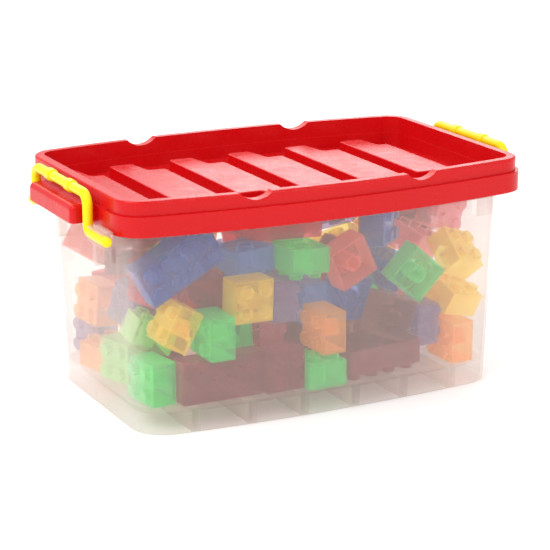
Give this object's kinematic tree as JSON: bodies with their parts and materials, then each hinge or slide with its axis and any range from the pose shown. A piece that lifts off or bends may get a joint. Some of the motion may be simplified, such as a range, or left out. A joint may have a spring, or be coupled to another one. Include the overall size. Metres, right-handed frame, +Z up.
{
  "type": "clip-lid storage box",
  "caption": "Clear tub filled with transparent play bricks, closed by a stepped red tray lid that two yellow swing handles clip down.",
  "frame": {"origin": "under the middle of the box, on the base plane", "axes": "+X along the long side, +Y across to the back, +Z up; the handles are at -X and +X"},
  "size_m": [0.3412, 0.2052, 0.1676],
  "materials": {
    "tub_clear_plastic": "satin, milky translucent",
    "lid_red_plastic": "satin gloss",
    "handle_yellow_plastic": "satin gloss",
    "brick_amber": "clear, polished",
    "brick_blue": "clear, polished",
    "brick_brown": "clear, polished",
    "brick_coral": "clear, polished",
    "brick_green": "clear, polished",
    "brick_lilac": "clear, polished",
    "brick_lime": "clear, polished",
    "brick_maroon": "clear, polished",
    "brick_orange": "clear, polished",
    "brick_pink": "clear, polished",
    "brick_red": "clear, polished",
    "brick_rose": "clear, polished",
    "brick_sky": "clear, polished"
  },
  "bodies": {
    "tub_and_bricks": {"brick_01_green": "brick_green", "brick_02_maroon": "brick_maroon", "brick_03_maroon": "brick_maroon", "brick_04_green": "brick_green", "brick_05_maroon": "brick_maroon", "brick_06_orange": "brick_orange", "brick_07_blue": "brick_blue", "brick_08_lime": "brick_lime", "brick_09_green": "brick_green", "brick_10_green": "brick_green", "brick_11_rose": "brick_rose", "brick_12_orange": "brick_orange", "brick_13_brown": "brick_brown", "brick_14_lilac": "brick_lilac", "brick_15_orange": "brick_orange", "brick_16_amber": "brick_amber", "brick_17_maroon": "brick_maroon", "brick_18_amber": "brick_amber", "brick_19_lilac": "brick_lilac", "brick_20_sky": "brick_sky", "brick_21_blue": "brick_blue", "brick_22_amber": "brick_amber", "brick_23_blue": "brick_blue", "brick_24_sky": "brick_sky", "brick_25_green": "brick_green", "brick_26_coral": "brick_coral", "brick_27_blue": "brick_blue", "brick_28_green": "brick_green", "brick_29_pink": "brick_pink", "brick_30_amber": "brick_amber", "brick_31_pink": "brick_pink", "brick_32_maroon": "brick_maroon", "brick_33_brown": "brick_brown", "brick_34_red": "brick_red", "brick_35_maroon": "brick_maroon", "brick_36_maroon": "brick_maroon", "brick_37_coral": "brick_coral", "brick_38_orange": "brick_orange", "brick_39_lilac": "brick_lilac", "brick_40_orange": "brick_orange", "brick_41_lilac": "brick_lilac", "brick_42_red": "brick_red", "brick_43_lime": "brick_lime", "brick_44_maroon": "brick_maroon", "loose_bricks_amber": "brick_amber", "loose_bricks_blue": "brick_blue", "loose_bricks_green": "brick_green", "loose_bricks_lilac": "brick_lilac", "loose_bricks_maroon": "brick_maroon", "loose_bricks_orange": "brick_orange", "loose_bricks_red": "brick_red", "tub": "tub_clear_plastic"},
    "lid": {"lid": "lid_red_plastic"},
    "handle_left": {"handle_left": "handle_yellow_plastic"},
    "handle_right": {"handle_right": "handle_yellow_plastic"}
  },
  "joints": [
    {"name": "lid_lift", "type": "slide", "parent": "tub_and_bricks", "child": "lid", "axis": [0, 0, 1], "range_m": [0, 0.022]},
    {"name": "handle_left_swing", "type": "hinge", "parent": "tub_and_bricks", "child": "handle_left", "pos_m": [-0.1618, 0, 0.1385], "axis": [0, -1, 0], "range_deg": [0, 175]},
    {"name": "handle_right_swing", "type": "hinge", "parent": "tub_and_bricks", "child": "handle_right", "pos_m": [0.1618, 0, 0.1385], "axis": [0, 1, 0], "range_deg": [0, 175]}
  ],
  "couplings": [
    {"joint": "handle_left_swing", "follows": "lid_lift", "rad_per_m": 138.83},
    {"joint": "handle_right_swing", "follows": "lid_lift", "rad_per_m": 138.83}
  ]
}
